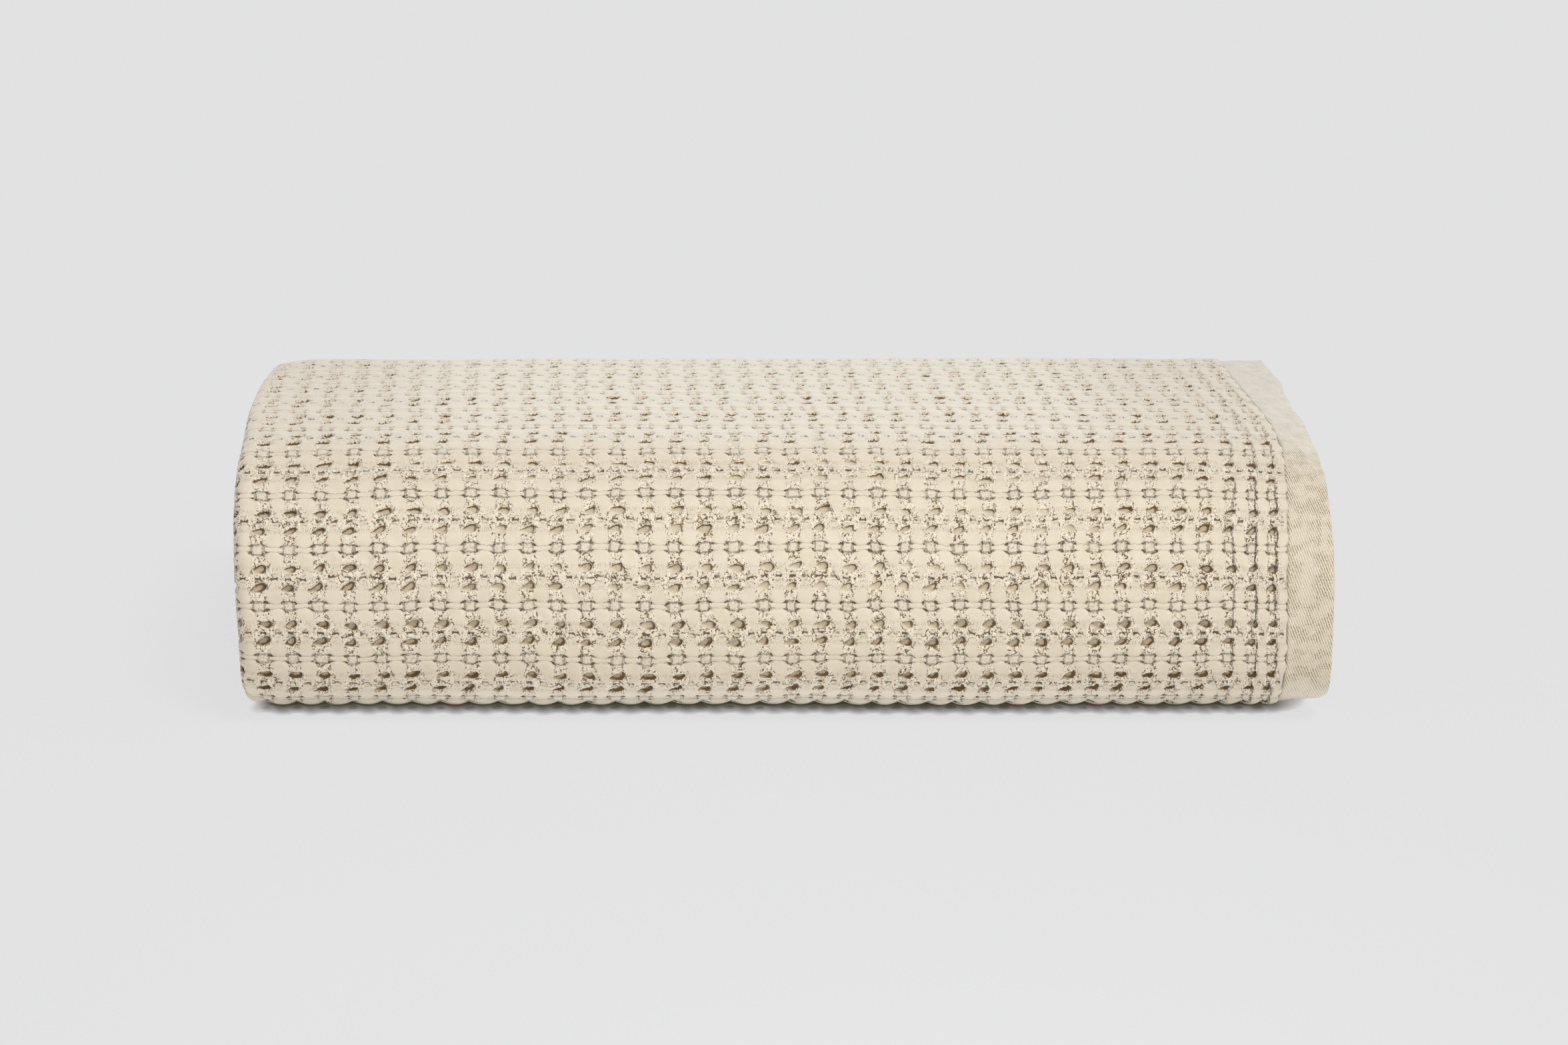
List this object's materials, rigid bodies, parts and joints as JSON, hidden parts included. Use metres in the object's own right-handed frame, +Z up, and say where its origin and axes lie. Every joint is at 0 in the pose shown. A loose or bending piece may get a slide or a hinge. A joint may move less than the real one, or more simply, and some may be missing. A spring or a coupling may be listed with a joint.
{
  "type": "folded waffle weave cotton blanket",
  "caption": "Cotton blanket in a large waffle weave, folded in four plies and over into a flat roll with a rounded front, for a bed, sofa or shelf.",
  "frame": {"origin": "middle of the bounding box's base, on the surface that the folded blanket lies on", "axes": "+X along the roll towards the end that shows the hem, -Y towards the rounded front, +Z up"},
  "size_m": [0.586, 0.2976, 0.1495],
  "materials": {
    "waffle_cotton": "washed matt cotton in a large waffle weave, oatmeal, with a fine twill hem"
  },
  "bodies": {
    "root": {"blanket": "waffle_cotton"}
  },
  "joints": []
}
